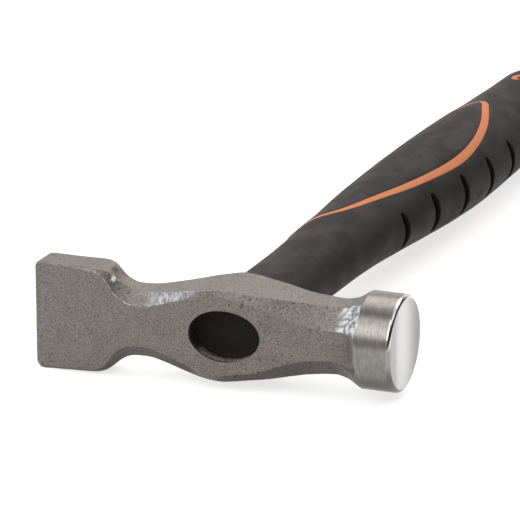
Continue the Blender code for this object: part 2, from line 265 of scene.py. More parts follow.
def to_frame(points):
    """Points in millimetres from the eye's mouth, in the frame's metres."""
    return np.asarray(points, dtype=float) * MM + np.array(ORIGIN)


def shade(mesh):
    """Shade the mesh smooth, apart from its sharp edges."""
    mesh.shade_smooth()
    mesh.set_sharp_from_angle(angle=SHARP)


def finish_mesh(mesh):
    """Turn the faces outwards and shade them."""
    work = bmesh.new()
    work.from_mesh(mesh)
    bmesh.ops.recalc_face_normals(work, faces=work.faces)
    work.to_mesh(mesh)
    work.free()
    shade(mesh)
    return mesh


def loft(name, rings):
    """Skin through closed rings with equal numbers of points. The ends close on their middles."""
    rings = np.array(rings, dtype=float)
    count, around = rings.shape[:2]
    ends = np.array([rings[0].mean(axis=0), rings[-1].mean(axis=0)])
    points = to_frame(np.vstack([rings.reshape(-1, 3), ends]))
    faces = []
    for ring in range(count - 1):
        here = ring * around
        after = here + around
        for step in range(around):
            turn = (step + 1) % around
            faces.append((here + step, here + turn, after + turn, after + step))
    last = (count - 1) * around
    for step in range(around):
        turn = (step + 1) % around
        faces.append((turn, step, count * around))
        faces.append((last + step, last + turn, count * around + 1))
    mesh = bpy.data.meshes.new(name)
    mesh.from_pydata(points.tolist(), [], faces)
    return finish_mesh(mesh)


def combine(piece, others, operation):
    """Join the other meshes to the piece, or cut them from it, and keep only the result."""
    scene = bpy.context.scene
    tools = []
    for number, mesh in enumerate(others):
        tool = bpy.data.objects.new(f"tool_{number}", mesh)
        scene.collection.objects.link(tool)
        modifier = piece.modifiers.new(tool.name, "BOOLEAN")
        modifier.object = tool
        modifier.operation = operation
        tools.append(tool)
    graph = bpy.context.evaluated_depsgraph_get()
    result = bpy.data.meshes.new_from_object(piece.evaluated_get(graph))
    piece.modifiers.clear()
    piece.data = result
    for tool in tools:
        bpy.data.objects.remove(tool)
    drop_slivers(result)
    shade(result)


def drop_slivers(mesh):
    """Merge the nearly equal points that a Boolean leaves, and leave triangles of a sound shape."""
    work = bmesh.new()
    work.from_mesh(mesh)
    bmesh.ops.remove_doubles(work, verts=work.verts, dist=SLIVER * MM)
    bmesh.ops.triangulate(work, faces=work.faces)
    bmesh.ops.dissolve_degenerate(work, edges=work.edges, dist=SLIVER * MM)
    bmesh.ops.triangulate(work, faces=work.faces)
    work.to_mesh(mesh)
    work.free()


def uneven(point, size):
    """Smooth noise from -1 to 1, with bumps about the size given, in millimetres."""
    return noise.noise(Vector(point) / size)


# Materials

SOCKETS = {
    "base_color": "Base Color",
    "roughness": "Roughness",
    "metallic": "Metallic",
    "normal": "Normal",
    "specular": "Specular IOR Level",
    "sheen": "Sheen Weight",
    "emission_color": "Emission Color",
    "emission_strength": "Emission Strength",
}


class Surface:
    """A material under construction. Each call adds a node and returns its output."""

    def __init__(self, name):
        self.material = bpy.data.materials.new(name)
        self.material.use_nodes = True
        self.tree = self.material.node_tree
        self.shader = self.tree.nodes["Principled BSDF"]
        coordinates = self.node("ShaderNodeTexCoord").outputs
        centred = self.vector("SUBTRACT", coordinates["Object"], tuple(ORIGIN))
        self.place = self.vector("MULTIPLY", centred, (1 / MM, 1 / MM, 1 / MM))
        parts = self.node("ShaderNodeSeparateXYZ", {0: self.place}).outputs
        self.x, self.y, self.z = parts
        self.facing = self.node("ShaderNodeSeparateXYZ", {0: coordinates["Normal"]}).outputs

    def node(self, kind, inputs=None, **settings):
        node = self.tree.nodes.new(kind)
        for name, value in settings.items():
            setattr(node, name, value)
        for socket, value in (inputs or {}).items():
            self.connect(node.inputs[socket], value)
        return node

    def connect(self, socket, value):
        if isinstance(value, bpy.types.NodeSocket):
            self.tree.links.new(value, socket)
        else:
            socket.default_value = value

    def vector(self, operation, first, second):
        return self.node("ShaderNodeVectorMath", {0: first, 1: second}, operation=operation).outputs[0]

    def math(self, operation, first, second=0.0):
        return self.node("ShaderNodeMath", {0: first, 1: second}, operation=operation).outputs[0]

    def product(self, first, *others):
        for other in others:
            first = self.math("MULTIPLY", first, other)
        return first

    def between(self, value, low, high, start=0.0, end=1.0):
        """The value carried from low...high to start...end, smoothly, and held beyond."""
        inputs = {"Value": value, "From Min": low, "From Max": high, "To Min": start, "To Max": end}
        return self.node("ShaderNodeMapRange", inputs, interpolation_type="SMOOTHSTEP").outputs["Result"]

    def noise(self, size, detail=2.0, stretch=(1.0, 1.0, 1.0), roughness=0.5):
        """Noise from 0 to 1 whose grains are about the size given, in millimetres."""
        scale = tuple(1.0 / (size * part) for part in stretch)
        scaled = self.vector("MULTIPLY", self.place, scale)
        inputs = {"Vector": scaled, "Scale": 1.0, "Detail": detail, "Roughness": roughness}
        return self.node("ShaderNodeTexNoise", inputs).outputs["Fac"]

    def mix(self, factor, first, second):
        """The first colour where the factor is 0, and the second where it is 1."""
        inputs = {0: factor, 6: first, 7: second}
        return self.node("ShaderNodeMix", inputs, data_type="RGBA").outputs[2]

    def blend(self, factor, first, second):
        """The first number where the factor is 0, and the second where it is 1."""
        return self.node("ShaderNodeMix", {0: factor, 2: first, 3: second}).outputs[0]

    def bump(self, height, depth, strength=1.0, under=None):
        """A normal for a height from 0 to 1 that stands for the depth, in millimetres."""
        inputs = {"Height": height, "Distance": depth * MM, "Strength": strength}
        if under is not None:
            inputs["Normal"] = under
        return self.node("ShaderNodeBump", inputs).outputs["Normal"]

    def finish(self, **values):
        for name, value in values.items():
            self.connect(self.shader.inputs[SOCKETS[name]], value)
        return self.material


def grey(value, warmth=0.0):
    return (value * (1 + warmth), value, value * (1 - warmth), 1.0)


def forged_steel():
    """Blasted forging, with the bell ground round, the bevel polished and the face satin, and painted
    shade and highlights on them.
    """
    steel = Surface("forged_steel")
    grain = steel.between(steel.noise(0.36, 3.0, roughness=0.65), 0.3, 0.7)
    coarse = steel.noise(1.1, 3.0)
    cloud = steel.noise(7.0, 3.0)
    blasted = steel.mix(grain, grey(0.09, 0.10), grey(0.245, 0.085))
    blasted = steel.mix(steel.between(coarse, 0.3, 0.4), grey(0.07, 0.12), blasted)
    blasted = steel.mix(steel.between(cloud, 0.35, 0.65, 0.0, 0.3), blasted, grey(0.13, 0.11))
    # Painted highlight: the front facets that face upwards get a brighter, mottled colour; those that face
    # downwards do not.
    dressed_and_highlit = dressed_and_highlit_facets(steel)
    streaks = steel.noise(1.3, 4.0, stretch=(0.6, 1.5, 1.5))
    bright = steel.mix(steel.between(streaks, 0.36, 0.62), grey(0.11, 0.03), grey(0.275, -0.02))
    mottled = steel.mix(steel.between(steel.noise(1.5, 4.0), 0.38, 0.62), grey(0.16), grey(0.48, -0.05))
    bright = steel.mix(steel.between(steel.x, 34.0, 38.0), bright, mottled)
    # Painted shade: facets that face downwards are darkened halfway towards near black.
    underside_shade = steel.between(steel.facing[2], -0.35, -0.2, 0.5, 1.0)
    blasted = steel.mix(underside_shade, grey(0.02, 0.1), blasted)
    blasted = steel.mix(dressed_and_highlit, blasted, bright)
    # Painted highlight along the upper front edge.
    blasted = steel.mix(painted_edge_highlight(steel), blasted, grey(0.55))
    # Painted shadow on top of the shoulder where the pein narrows into the neck.
    blasted = steel.mix(painted_light_spot(steel, (-38.6, 6.6, 15.0), (2.6, 2.4, 1.1)), blasted, grey(0.05, 0.1))
    # Painted highlight: a white glint on the chamfer just below it.
    blasted = steel.mix(painted_light_spot(steel, (-36.9, 2.3, 13.5), (0.8, 1.4, 1.5)), blasted, grey(0.8))
    forging_normal = steel.bump(grain, 0.045)
    forging_normal = steel.bump(coarse, 0.14, under=forging_normal)

    lines = steel.noise(0.3, 3.0, stretch=(1.0, 9.0, 9.0))
    stains = steel.noise(2.2, 3.0)
    ground = steel.mix(steel.between(lines, 0.3, 0.7), grey(0.18, 0.06), grey(0.26, 0.05))
    ground = steel.mix(steel.between(stains, 0.3, 0.7, 0.0, 0.5), ground, grey(0.15, 0.08))
    ground_normal = steel.bump(lines, 0.004)

    wave = steel.math("MULTIPLY", steel.noise(5.0, 2.0), 1.6)
    wavy = steel.math("ADD", steel.x, steel.math("SUBTRACT", wave, 0.8))
    bell = steel.between(wavy, BELL_START - 0.1, BELL_START + 0.3)
    bevel_start = FACE_X - FACE_EDGE
    bevel = steel.between(steel.x, bevel_start - 0.1, bevel_start + 0.15)
    face = steel.between(steel.x, FACE_X - 0.22, FACE_X - 0.16)

    scratches = steel.noise(0.35, 3.0, stretch=(1.0, 1.0, 12.0))
    satin = steel.mix(scratches, grey(0.47, 0.01), grey(0.60, 0.01))
    # Painted reflection: the satin face is darkened towards its back edge and at its front edge, leaving a
    # brighter band between.
    painted_reflection_y = steel.math("ADD", steel.y, steel.math("MULTIPLY", steel.noise(4.0, 2.0), 3.0))
    satin = steel.mix(steel.between(painted_reflection_y, 13.0, 28.0), satin, grey(0.16, 0.02))
    satin = steel.mix(steel.between(painted_reflection_y, 5.0, 10.5, 0.9, 0.0), satin, grey(0.30, 0.02))
    # Painted shade: the ground bell darkens towards its underside.
    ground = steel.mix(steel.between(steel.z, -12.5, -5.5, 0.95, 0.0), ground, grey(0.05, 0.08))
    # Painted shade: the polished bevel is dark low down and brightens towards its top.
    polished = steel.mix(steel.between(steel.z, -7.5, -1.5), grey(0.12, 0.02), grey(0.26, 0.02))
    polished = steel.mix(steel.between(steel.z, 1.5, 4.5), polished, grey(0.60, 0.02))
    colour = steel.mix(bell, blasted, ground)
    colour = steel.mix(bevel, colour, polished)
    colour = steel.mix(face, colour, satin)

    roughness = steel.between(grain, 0.0, 1.0, 0.52, 0.40)
    roughness = steel.blend(dressed_and_highlit, roughness, 0.34)
    roughness = steel.blend(bell, roughness, 0.27)
    roughness = steel.blend(bevel, roughness, 0.12)
    roughness = steel.blend(face, roughness, 0.26)

    normal = steel.mix(bell, forging_normal, ground_normal)
    # The eye's wall: speckled grey along its bottom just inside the mouth, and near black everywhere else.
    speckle = steel.mix(steel.between(grain, 0.45, 0.8), grey(0.03, 0.1), grey(0.40, 0.08))
    dark_wall_mask = steel.math("MAXIMUM", steel.between(steel.y, 2.0, 5.5), steel.between(steel.z, -6.6, -4.6))
    scale = steel.mix(dark_wall_mask, speckle, grey(0.012, 0.1))
    wall = eye_wall(steel)
    colour = steel.mix(wall, colour, scale)
    metallic = steel.blend(wall, 1.0, 0.0)
    return steel.finish(base_color=colour, roughness=roughness, metallic=metallic, normal=normal)


def dressed_and_highlit_facets(steel):
    """Where the slanting front facets are brighter, by the cheeks and just before the bell: a finish from
    dressing with a painted highlight, kept to the facets that face upwards.
    """
    across = steel.facing[2]
    slant = steel.product(
        steel.between(across, 0.22, 0.34),
        steel.between(across, 0.72, 0.86, 1.0, 0.0),
        steel.between(steel.facing[1], -0.5, -0.35, 1.0, 0.0),
    )
    ragged = steel.math("ADD", steel.x, steel.math("MULTIPLY", steel.noise(3.0, 3.0), 5.0))
    cheek = steel.product(
        steel.between(ragged, -24.5, -18.0),
        steel.between(ragged, 7.0, 14.0, 1.0, 0.0),
        steel.between(ragged, -5.0, 0.0, 1.0, 0.4),
    )
    collar = steel.product(
        steel.between(ragged, 36.5, 39.0),
        steel.between(steel.x, BELL_START, BELL_START + 0.4, 1.0, 0.0),
    )
    return steel.product(slant, steel.math("ADD", cheek, collar))


def painted_edge_highlight(steel):
    """A painted highlight: the broken bright line along the upper front edge, from the pein's upper
    corners to the cheeks.
    """
    across = steel.facing[2]
    return steel.product(
        steel.between(across, 0.03, 0.1),
        steel.between(across, 0.34, 0.46, 1.0, 0.0),
        steel.between(steel.y, 2.2, 3.0, 1.0, 0.0),
        steel.between(steel.x, -46.5, -44.5),
        steel.between(steel.x, -31.0, -27.0, 1.0, 0.0),
        steel.between(steel.noise(2.2, 3.0), 0.4, 0.5),
    )


def painted_light_spot(steel, centre, size):
    """1 inside a small ragged patch of painted light, and 0 outside it."""
    away = steel.vector("DIVIDE", steel.vector("SUBTRACT", steel.place, centre), size)
    distance = steel.node("ShaderNodeVectorMath", {0: away}, operation="LENGTH").outputs["Value"]
    ragged = steel.math("ADD", distance, steel.math("MULTIPLY", steel.noise(0.7, 3.0), 1.4))
    return steel.between(ragged, 1.0, 1.8, 1.0, 0.0)


def eye_wall(steel):
    """1 on the wall of the eye, inside the mouth's edge."""
    along = steel.math("DIVIDE", steel.x, EYE_HALF_LENGTH)
    across = steel.math("DIVIDE", steel.z, EYE_HALF_WIDTH)
    off_axis = steel.math("ADD", steel.product(along, along), steel.product(across, across))
    inside = steel.between(off_axis, 1.01, 1.04, 1.0, 0.0)
    return steel.product(inside, steel.between(steel.y, 0.3, 1.6))


def black_resin():
    resin = Surface("black_resin")
    cloud = resin.noise(2.5, 3.0)
    colour = resin.mix(cloud, grey(0.004, 0.15), grey(0.009, 0.15))
    normal = resin.bump(resin.noise(0.8, 3.0), 0.05)
    roughness = resin.between(cloud, 0.2, 0.8, 0.7, 0.85)
    return resin.finish(base_color=colour, roughness=roughness, normal=normal, specular=0.2)


def glass_fibre():
    fibre = Surface("glass_fibre")
    strands = fibre.noise(0.5, 3.0, stretch=(1.0, 40.0, 1.0))
    colour = fibre.mix(strands, (0.42, 0.40, 0.24, 1.0), (0.70, 0.67, 0.46, 1.0))
    normal = fibre.bump(strands, 0.03)
    roughness = fibre.between(strands, 0.2, 0.8, 0.35, 0.5)
    return fibre.finish(base_color=colour, roughness=roughness, normal=normal)


def orange_plastic():
    plastic = Surface("orange_plastic")
    cloud = plastic.noise(9.0, 2.0)
    grain = plastic.noise(0.25, 2.0)
    colour = plastic.mix(cloud, (0.42, 0.113, 0.023, 1.0), (0.46, 0.132, 0.032, 1.0))
    normal = plastic.bump(grain, 0.008)
    roughness = plastic.between(grain, 0.2, 0.8, 0.42, 0.56)
    return plastic.finish(base_color=colour, roughness=roughness, normal=normal, specular=0.35)


def black_rubber():
    """Matte rubber with a fine moulded grain, and painted shade underneath, on the finger side and deep in
    the grooves.
    """
    rubber = Surface("black_rubber")
    grain = rubber.noise(0.3, 2.0)
    cloud = rubber.between(rubber.noise(8.0, 5.0, stretch=(1.0, 1.6, 1.0)), 0.25, 0.75)
    groove_shade = rubber.node("ShaderNodeAttribute", attribute_name="groove_shade").outputs["Fac"]
    dust = rubber.noise(0.9, 3.0, roughness=0.7)
    colour = rubber.mix(cloud, (0.0130, 0.0088, 0.0094, 1.0), (0.0205, 0.0142, 0.0151, 1.0))
    colour = rubber.mix(rubber.between(dust, 0.35, 0.7, 0.0, 0.35), colour, (0.032, 0.0225, 0.024, 1.0))
    # Painted shade: the rubber darkens towards near black on its underside and on the finger side, so that
    # its top stays lighter.
    low = rubber.between(rubber.facing[2], -0.3, 0.75, 0.75, 0.0)
    finger_side_shade = rubber.between(rubber.facing[0], 0.1, 0.8, 0.0, 0.7)
    colour = rubber.mix(rubber.math("MAXIMUM", low, finger_side_shade), colour, grey(0.0025, 0.5))
    # Painted shade: near black deep in the finger grooves.
    colour = rubber.mix(groove_shade, colour, grey(0.001))
    normal = rubber.bump(grain, 0.02)
    roughness = rubber.mix(groove_shade, rubber.between(cloud, 0.2, 0.8, 0.72, 0.6), grey(1.0))
    return rubber.finish(base_color=colour, roughness=roughness, normal=normal, specular=0.15, sheen=0.025)


def pale_floor():
    floor = Surface("pale_floor")
    colour = floor.mix(floor.noise(400.0, 2.0), grey(0.37), grey(0.39))
    glow = {"emission_color": grey(1.0), "emission_strength": FLOOR_GLOW}
    return floor.finish(base_color=colour, roughness=0.9, **glow)


# Head


def arc(before, corner, after, radius):
    """Points on an arc of the radius that rounds off a corner."""
    back = (before - corner) / np.linalg.norm(before - corner)
    ahead = (after - corner) / np.linalg.norm(after - corner)
    half_angle = math.acos(np.clip(back @ ahead, -1, 1)) / 2
    reach = radius / math.tan(half_angle)
    centre = corner + (back + ahead) / np.linalg.norm(back + ahead) * radius / math.sin(half_angle)
    start = corner + back * reach - centre
    square = corner + ahead * reach - centre
    sweep = math.pi - 2 * half_angle
    turns = np.linspace(0, sweep, ARC_POINTS)[:, None]
    return centre + (np.sin(sweep - turns) * start + np.sin(turns) * square) / math.sin(sweep)


def half_section(front, back, side, front_depth, front_width, back_depth, back_width, radius):
    """The upper half of an eight-sided section, from the middle of the front to that of the back."""
    corners = np.array([
        (front, 0.0),
        (front, side - front_width),
        (front + front_depth, side),
        (back - back_depth, side),
        (back, side - back_width),
        (back, 0.0),
    ])
    counts = (FRONT_POINTS, CHAMFER_POINTS, SIDE_POINTS, CHAMFER_POINTS, FRONT_POINTS)
    arcs = [arc(*corners[index - 1 : index + 2], radius) for index in range(1, 5)]
    starts = [corners[0]] + [points[-1] for points in arcs]
    ends = [points[0] for points in arcs] + [corners[5]]
    stretches = []
    for index, count in enumerate(counts):
        shares = np.linspace(0, 1, count + 2)[:, None]
        stretch = starts[index] + (ends[index] - starts[index]) * shares
        stretches.append(stretch if index == 0 else stretch[1:])
        if index < len(arcs):
            stretches.append(arcs[index][1:])
    return np.vstack(stretches)


def spread(points, evenness):
    """The line's points moved along it, from their own places towards equal spacing."""
    length = np.concatenate([[0.0], np.cumsum(np.linalg.norm(np.diff(points, axis=0), axis=1))])
    wanted = (1 - evenness) * length + evenness * np.linspace(0, length[-1], len(length))
    return np.stack([np.interp(wanted, length, points[:, column]) for column in (0, 1)], axis=1)


def whole_ring(x, half):
    """A ring across the head from the upper half of its outline."""
    lower = half[-2:0:-1] * (1, -1)
    ring = np.vstack([half, lower])
    return np.column_stack([np.full(len(ring), x), ring])


def head_ring(row):
    evenness = float(smoothstep(row[0], NECK_END, BELL_BLEND))
    return whole_ring(row[0], spread(half_section(*row[1:]), evenness))


def round_ring(x, radius):
    count = 2 * FRONT_POINTS + 2 * CHAMFER_POINTS + SIDE_POINTS + 4 * (ARC_POINTS - 1) + 6
    angles = np.linspace(0, math.pi, count)
    return whole_ring(x, np.column_stack([BELL_AXIS_Y - radius * np.cos(angles), radius * np.sin(angles)]))


def pein_end_rings():
    """The pein's flat end, with its long edges eased and its corners rounded."""
    rings = []
    eased = ((0.0, 1.7, 0.5), (0.15, 1.25, 0.3), (0.5, 0.8, 0.15), (1.4, 0.15, 0.0))
    for inward, narrower, thinner in eased:
        side = PEIN_HALF_WIDTH - narrower
        back = PEIN_END_THICKNESS + inward * 0.15 - thinner
        half = half_section(thinner, back, side, *[PEIN_CHAMFER] * 4, PEIN_CORNER)
        rings.append(whole_ring(PEIN_END + inward, half))
    middle = rings[0].mean(axis=0)
    inner = [middle + (rings[0] - middle) * share for share in (0.1, 0.25, 0.4, 0.55, 0.7, 0.85, 0.95)]
    return inner + rings


def bell_rings():
    """The bell, its rounded edge and its slightly crowned face."""
    rings = [round_ring(x, BELL_RADIUS) for x in evenly(BELL_START, FACE_X - FACE_EDGE, BELL_RING_SPACING)]
    rim = FACE_X - FACE_CROWN
    for degrees in (15, 30, 45, 60, 75, 90):
        turn = math.radians(degrees)
        x = FACE_X - FACE_EDGE + (rim - FACE_X + FACE_EDGE) * math.sin(turn)
        rings.append(round_ring(x, FACE_RADIUS + (BELL_RADIUS - FACE_RADIUS) * math.cos(turn)))
    for share in (0.97, 0.92, 0.84, 0.74, 0.62, 0.5, 0.38, 0.26, 0.14, 0.06):
        rings.append(round_ring(FACE_X - FACE_CROWN * share**2, FACE_RADIUS * share))
    return rings


def roughen_forging(mesh):
    """Sink the forged surface by a few hundredths of a millimetre, unevenly, up to the ground bell."""
    normals = [vertex.normal.copy() for vertex in mesh.vertices]
    for vertex, normal in zip(mesh.vertices, normals):
        place = (vertex.co - ORIGIN) / MM
        forged = 1.0 - float(smoothstep(place.x, BELL_BLEND - 1.5, BELL_START))
        dent = DENT_DEPTH * (1 + uneven(place, DENT_SIZE)) + PIT_DEPTH * (1 + uneven(place, PIT_SIZE))
        vertex.co -= normal * dent * forged * MM


def eye_cutter():
    """The eye: an oval hole whose mouth has a small worn edge that follows the head's front."""
    angles = np.linspace(0, 2 * math.pi, EYE_POINTS, endpoint=False)
    rings = []
    for wider, depth in ((0.6, -3.0), (0.6, -0.4), (0.12, 0.04), (0.04, 0.1), (0.0, 0.25)):
        x = (EYE_HALF_LENGTH + wider) * np.cos(angles)
        z = (EYE_HALF_WIDTH + wider) * np.sin(angles)
        front = smooth_rows(HEAD_SECTIONS, x)[:, 1]
        rings.append(np.column_stack([x, front + depth, z]))
    for y in (6.0, 12.0, 18.0, HEAD_BACK + 3.0):
        rings.append(oval(y, EYE_HALF_LENGTH, EYE_HALF_WIDTH))
    return loft("eye_cutter", rings)


def oval(y, half_length, half_width):
    """An oval ring across the handle's direction."""
    angles = np.linspace(0, 2 * math.pi, EYE_POINTS, endpoint=False)
    x = half_length * np.cos(angles)
    z = half_width * np.sin(angles)
    return np.column_stack([x, np.full(EYE_POINTS, y), z])


def build_head():
    stations = evenly(HEAD_SECTIONS[0][0], BELL_BLEND, HEAD_RING_SPACING)
    rings = pein_end_rings()
    rings += [head_ring(row) for row in smooth_rows(HEAD_SECTIONS, stations)]
    before, after = rings[-1], round_ring(BELL_START, BELL_RADIUS)
    rings += [before + (after - before) * share for share in (0.35, 0.7)]
    rings += bell_rings()
    mesh = loft("forged_head", rings)
    roughen_forging(mesh)
    head = add_piece("forged_head", mesh, forged_steel())
    combine(head, [eye_cutter()], "DIFFERENCE")
    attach(head, "root")
    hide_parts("head")


def build_resin_plug():
    """Resin in the eye: a surface that creeps up the wall, and a pocket behind it for the rod."""
    rings = []
    for share in (0.15, 0.35, 0.55, 0.7, 0.8, 0.88, 0.94, 0.98, 1.0):
        y = RESIN_RECESS - RESIN_CREEP * share**9
        ring = oval(y, (EYE_HALF_LENGTH - SEAM) * share, (EYE_HALF_WIDTH - SEAM) * share)
        ring[:, 1] += [RESIN_WAVE * uneven(point, 3.0) * (1 - share) for point in ring]
        rings.append(ring)
    back = HEAD_BACK - POCKET_GAP
    rings.append(oval(back, EYE_HALF_LENGTH - SEAM, EYE_HALF_WIDTH - SEAM))
    rings.append(oval(back, *ROD_POCKET))
    rings.append(oval(CORE_START - POCKET_GAP, *ROD_POCKET))
    plug = add_piece("resin_plug", loft("resin_plug", rings), black_resin())
    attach(plug, "root")
    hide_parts("eye_resin")


# Handle


def rubber_thickness(y):
    share = np.clip((np.asarray(y) - HANDLE_START) / (GRIP_START - HANDLE_START), 0.0, 1.0)
    return RUBBER_NECK + (RUBBER_GRIP - RUBBER_NECK) * share


def grip_shoulder(y, angle):
    """How far the surface stands up along the spine where the grip begins."""
    rise = smoothstep(y, *SHOULDER_RISE) * (1 - smoothstep(y, *SHOULDER_FALL))
    return SHOULDER_HEIGHT * rise * smoothstep(np.abs(angle), *SHOULDER_EDGE)


def handle_points(y, angle, depth):
    """Points at the depths under the handle's surface, at the angles round its oval."""
    y, angle, depth = np.broadcast_arrays(np.asarray(y, float), angle, depth)
    depth = depth - grip_shoulder(y, angle)
    rows = smooth_rows(HANDLE_SECTIONS, y.ravel())
    centre = rows[:, 1].reshape(y.shape)
    half = rows[:, 2].reshape(y.shape)
    x = centre + (half - depth) * np.cos(angle)
    z = (half * SECTION_ASPECT - depth) * np.sin(angle)
    return np.stack([x, y, z], axis=-1)


def round_angles():
    return np.linspace(-math.pi, math.pi, HANDLE_SEGMENTS, endpoint=False)


def handle_rings(stations, inset):
    """Rings at the stations and over the butt, below the rubber's surface by the inset there."""
    angles = round_angles()
    rings = [handle_points(y, angles, inset(y, angles)) for y in stations]
    butt_inset = float(np.min(inset(BUTT, angles)))
    rounding = BUTT_ROUNDING - butt_inset
    for degrees in range(10, 91, 10):
        turn = math.radians(degrees)
        y = BUTT - BUTT_ROUNDING + rounding * math.sin(turn)
        rings.append(handle_points(y, angles, butt_inset + rounding * (1 - math.cos(turn))))
    middle = rings[-1].mean(axis=0)
    return rings + [middle + (rings[-1] - middle) * share for share in (0.85, 0.6, 0.35, 0.12)]


def groove_depth(y, angles):
    """How deep the finger grooves are: steep sides, a round floor and blunt ends."""
    depth = np.zeros_like(angles)
    reach = np.clip(1 - (angles / GROOVE_REACH) ** 4, 0.0, 1.0)
    half_width = GROOVE_WIDTH / 2 * reach**0.5
    for index in range(GROOVE_COUNT):
        off = abs(y - FIRST_GROOVE - index * GROOVE_PITCH)
        across = np.clip(1 - off / np.maximum(half_width, 1e-6), 0.0, 1.0)
        depth = np.maximum(depth, smoothstep(across, 0.0, 0.45) * GROOVE_DEPTH * reach**0.5)
    return depth


def sleeve_stations():
    """Rings along the sleeve, closer together across the grooves."""
    stations = list(evenly(HANDLE_START + 0.4, BUTT - BUTT_ROUNDING, HANDLE_RING_SPACING))
    near = GROOVE_WIDTH / 2 + 0.3
    for index in range(GROOVE_COUNT):
        middle = FIRST_GROOVE + index * GROOVE_PITCH
        stations = [y for y in stations if abs(y - middle) > near + 0.5]
        stations += list(evenly(middle - near, middle + near, GROOVE_RING_SPACING))
    return sorted(stations)


def stripe_line(side):
    """Rows of y, angle and width round the stripe's middle, on a closed Catmull-Rom curve."""
    rows = np.array(STRIPE, dtype=float)
    rows[:, 1] = np.radians(rows[:, 1])
    half = OUTLINE_POINTS // 2
    to_far_tip = np.linspace(0, FAR_TIP, half, endpoint=False)
    and_back = np.linspace(FAR_TIP, len(rows), half, endpoint=False)
    places = np.concatenate([to_far_tip, and_back])
    index = places.astype(int)
    share = (places - index)[:, None]
    before, here, after, later = (rows[(index + offset) % len(rows)] for offset in (-1, 0, 1, 2))
    straight = (after - before) * share
    square = (2 * before - 5 * here + 4 * after - later) * share**2
    cube = (3 * here - before - 3 * after + later) * share**3
    line = here + (straight + square + cube) / 2
    if side == "left":
        return line
    other = line * (1, -1, 1)
    return np.vstack([other[:1], other[:0:-1]])


def moved_sideways(line, distance):
    """Rows of y and angle: the closed line moved over the surface, outwards where positive."""
    y, angle = line[:, 0], line[:, 1]
    points = handle_points(y, angle, 0.0)
    along = np.roll(points, -1, axis=0) - np.roll(points, 1, axis=0)
    along /= np.linalg.norm(along, axis=1)[:, None]
    nudge = 0.01
    turn = (handle_points(y, angle + nudge, 0.0) - handle_points(y, angle - nudge, 0.0)) / (2 * nudge)
    per_radian = np.linalg.norm(turn, axis=1)
    turn /= per_radian[:, None]
    across = np.cross(np.cross(turn, (0.0, 1.0, 0.0)), along)
    across /= np.linalg.norm(across, axis=1)[:, None]
    shift = across * np.broadcast_to(distance, y.shape)[:, None]
    return np.column_stack([y + shift[:, 1], angle + (shift * turn).sum(axis=1) / per_radian])


def patch_solid(name, layers):
    """A closed slab on the handle's surface. Each layer is an outline and the depth that it lies at;
    the first and the last are skinned over, with rows between the outline's two sides."""
    half = OUTLINE_POINTS // 2
    work = bmesh.new()

    def add(places, depth):
        places = np.atleast_2d(places)
        y, angle = places[:, 0], places[:, 1]
        deep = depth(y) if callable(depth) else depth
        return [work.verts.new(point) for point in to_frame(handle_points(y, angle, deep))]

    def skin(outline, rim, depth):
        shares = np.linspace(0, 1, PANEL_COLUMNS + 1)[1:-1, None]
        rows = [[rim[0]]]
        for index in range(1, half):
            left, right = outline[index], outline[-index]
            inner = add(left + (right - left) * shares, depth)
            rows.append([rim[index], *inner, rim[-index]])
        rows.append([rim[half]])
        for row, following in zip(rows, rows[1:]):
            for column in range(PANEL_COLUMNS):
                corners = [
                    row[min(column, len(row) - 1)],
                    row[min(column + 1, len(row) - 1)],
                    following[min(column + 1, len(following) - 1)],
                    following[min(column, len(following) - 1)],
                ]
                work.faces.new(list(dict.fromkeys(corners)))

    rims = [add(outline, depth) for outline, depth in layers]
    for upper, lower in zip(rims, rims[1:]):
        for index in range(OUTLINE_POINTS):
            work.faces.new((upper[index - 1], upper[index], lower[index], lower[index - 1]))
    for place in (0, -1):
        skin(layers[place][0], rims[place], layers[place][1])
    mesh = bpy.data.meshes.new(name)
    work.to_mesh(mesh)
    work.free()
    return finish_mesh(mesh)


def rib_solid(name, line):
    """The stripe as a rib with softened edges, from inside the jacket up to the rubber's surface."""
    half = line[:, 2] / 2
    foot = rubber_thickness(line[:, 0]) + 1.0
    edge = EDGE_ROUNDING
    rounded = ((0.0, edge), (0.08 * edge, 0.55 * edge), (0.4 * edge, 0.2 * edge), (edge, 0.1 * edge))
    profile = ((0.0, foot), *rounded)
    sides = []
    for sign, steps in ((1, profile), (-1, profile[::-1])):
        for inward, depth in steps:
            edge_line = moved_sideways(line, sign * (half - inward))
            sides.append(handle_points(edge_line[:, 0], edge_line[:, 1], depth))
    rings = to_frame(np.stack(sides, axis=1))
    count, around = rings.shape[:2]
    faces = []
    for index in range(count):
        here = index * around
        after = (index + 1) % count * around
        for step in range(around):
            turn = (step + 1) % around
            faces.append((here + step, here + turn, after + turn, after + step))
    mesh = bpy.data.meshes.new(name)
    mesh.from_pydata(rings.reshape(-1, 3).tolist(), [], faces)
    return finish_mesh(mesh)


def turned(name, profile):
    """A solid of revolution about the hanging hole's upright axis, from rows of radius and z."""
    centre = smooth_rows(HANDLE_SECTIONS, [HANG_HOLE_Y])[0][1]
    angles = np.linspace(0, 2 * math.pi, TURNED_SEGMENTS, endpoint=False)
    rings = []
    for radius, z in profile:
        x = centre + radius * np.cos(angles)
        y = HANG_HOLE_Y + radius * np.sin(angles)
        rings.append(np.column_stack([x, y, np.full(TURNED_SEGMENTS, z)]))
    return loft(name, rings)


def both_ends(profile):
    """The profile of one end, given from its middle outwards, followed by its mirror image."""
    return profile + [(radius, -z) for radius, z in reversed(profile)]


